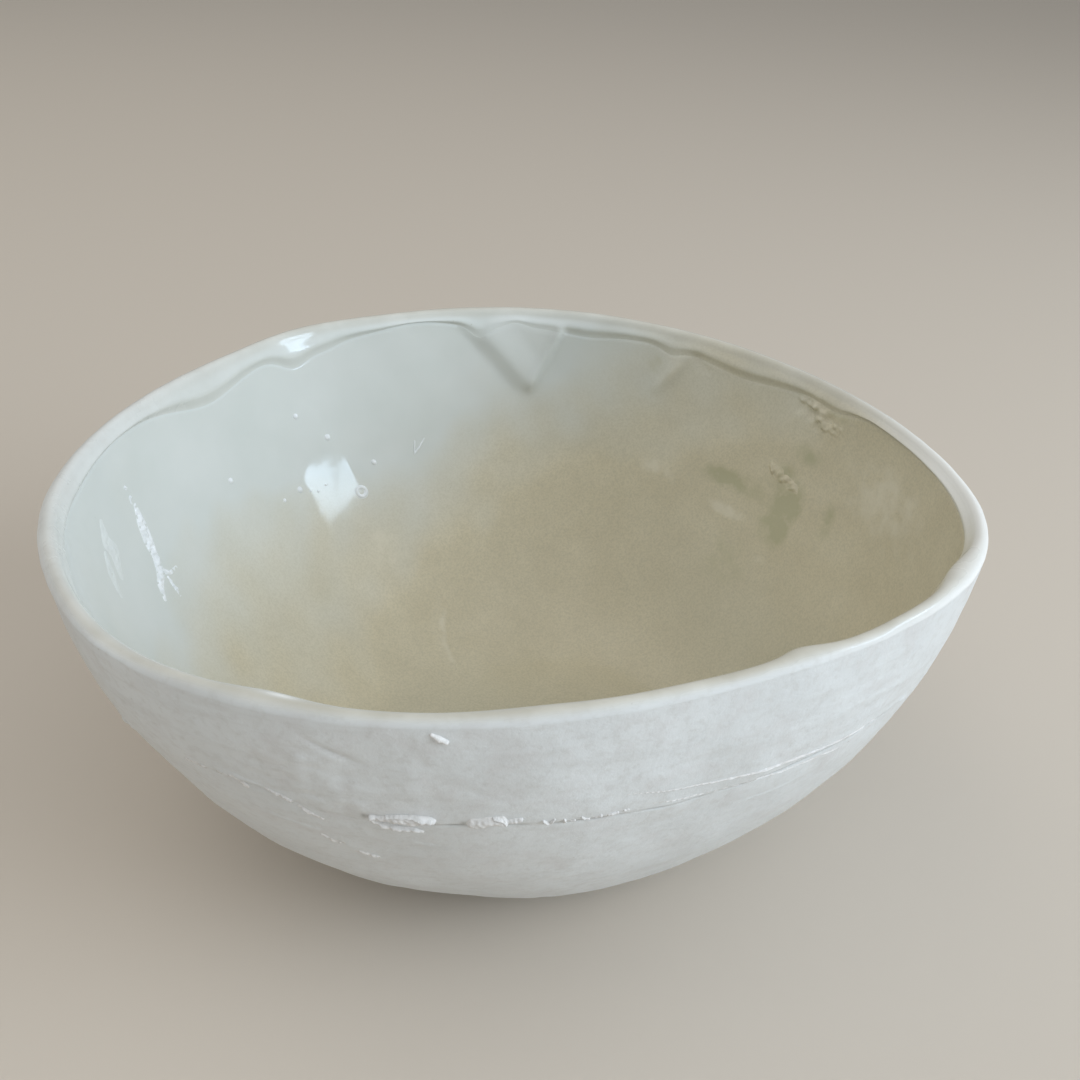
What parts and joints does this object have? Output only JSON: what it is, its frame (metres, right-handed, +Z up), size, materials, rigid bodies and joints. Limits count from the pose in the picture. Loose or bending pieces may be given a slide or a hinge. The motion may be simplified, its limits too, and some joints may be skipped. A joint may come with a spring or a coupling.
{
  "type": "yarn bowl",
  "caption": "Hand-built porcelain bowl with an uneven rounded outline, a folded lip, a seam round the outside and clear glaze inside.",
  "frame": {"origin": "middle of the outline, on the surface that the bowl stands on", "axes": "+X along the longest way across the lip, +Y across the width, +Z up"},
  "size_m": [0.17, 0.1545, 0.08],
  "materials": {
    "satin_porcelain": "satin white porcelain under a thin, nearly matt glaze",
    "glazed_lip": "glossy cream-white porcelain lip",
    "inside_glaze": "glossy clear glaze with a pale grey-green tint where it pools"
  },
  "bodies": {
    "root": {"lower_dish": "satin_porcelain", "upper_band": "satin_porcelain", "lip_roll": "glazed_lip", "seam_slip": "satin_porcelain", "seam_scraps": "satin_porcelain", "wall_pellet": "satin_porcelain", "inside_glaze": "inside_glaze", "inner_scraps": "inside_glaze"}
  },
  "joints": []
}
